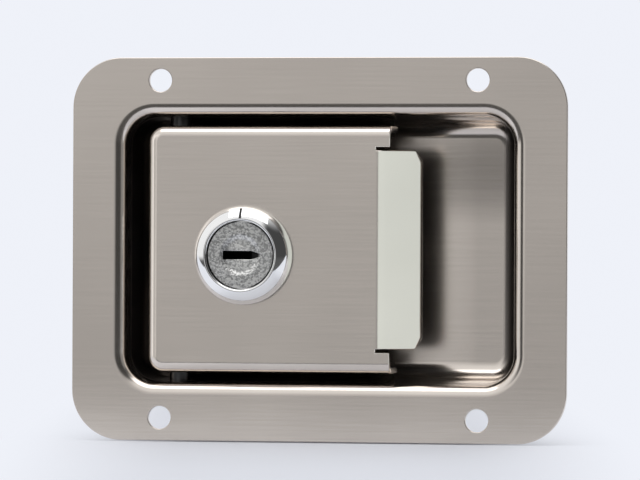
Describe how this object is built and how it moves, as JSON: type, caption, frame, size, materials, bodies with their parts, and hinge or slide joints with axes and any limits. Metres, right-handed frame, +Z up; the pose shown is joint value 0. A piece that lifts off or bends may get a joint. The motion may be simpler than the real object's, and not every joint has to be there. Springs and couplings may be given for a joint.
{
  "type": "panel lock",
  "caption": "Flush stainless paddle latch with a key lock: a recessed pan, a hinged pull paddle with a finger tab, and a bevelled bolt drawn back behind the panel.",
  "frame": {"origin": "centre of the four screw holes, on the flange's back face where it meets the panel", "axes": "+Z up the panel, +X to the right seen from the front, +Y into the panel, so the lock faces -Y"},
  "size_m": [0.12, 0.0354, 0.092],
  "materials": {
    "brushed_stainless": "brushed",
    "plated_steel": "zinc plated",
    "bright_steel": "bright",
    "black_steel": "black oxide",
    "spring_steel": "drawn wire",
    "chromed_zinc": "mirror chrome",
    "matt_zinc": "matt nickel",
    "wafer_brass": "stamped"
  },
  "bodies": {
    "pan": {"pan": "brushed_stainless", "hinge_pin": "black_steel", "pin_clip": "black_steel", "paddle_spring_upper": "spring_steel", "paddle_spring_lower": "spring_steel", "bolt_housing": "brushed_stainless", "bolt_spring": "spring_steel", "spring_guide": "bright_steel", "housing_rivets": "bright_steel", "cam_keeper": "brushed_stainless", "keeper_rivets": "bright_steel"},
    "paddle": {"paddle": "brushed_stainless", "drive_bracket": "plated_steel", "lock_body": "chromed_zinc", "lock_nut": "plated_steel"},
    "plug": {"lock_plug": "matt_zinc", "wafer_1": "wafer_brass", "wafer_2": "wafer_brass", "wafer_3": "wafer_brass", "wafer_4": "wafer_brass", "wafer_5": "wafer_brass", "stop_washer": "plated_steel", "lock_cam": "plated_steel", "cam_washer": "spring_steel", "cam_screw": "plated_steel"},
    "bolt": {"latch_bolt": "plated_steel"}
  },
  "joints": [
    {"name": "paddle_hinge", "type": "hinge", "parent": "pan", "child": "paddle", "pos_m": [-0.035, 0.0065, 0], "axis": [0, 0, -1], "range_deg": [0, 32], "stiffness_Nm_per_rad": 0.384, "springref_deg": -23.89, "deforming": ["paddle_spring_upper", "paddle_spring_lower"]},
    {"name": "bolt_slide", "type": "slide", "parent": "pan", "child": "bolt", "axis": [1, 0, 0], "range_m": [0, 0.0095], "deforming": ["bolt_spring"]},
    {"name": "key_turn", "type": "hinge", "parent": "paddle", "child": "plug", "pos_m": [-0.018, 0, -0.0014], "axis": [0, -1, 0], "range_deg": [0, 90]}
  ],
  "couplings": [
    {"joint": "bolt_slide", "follows": "paddle_hinge", "m_per_rad": 0.0167}
  ]
}
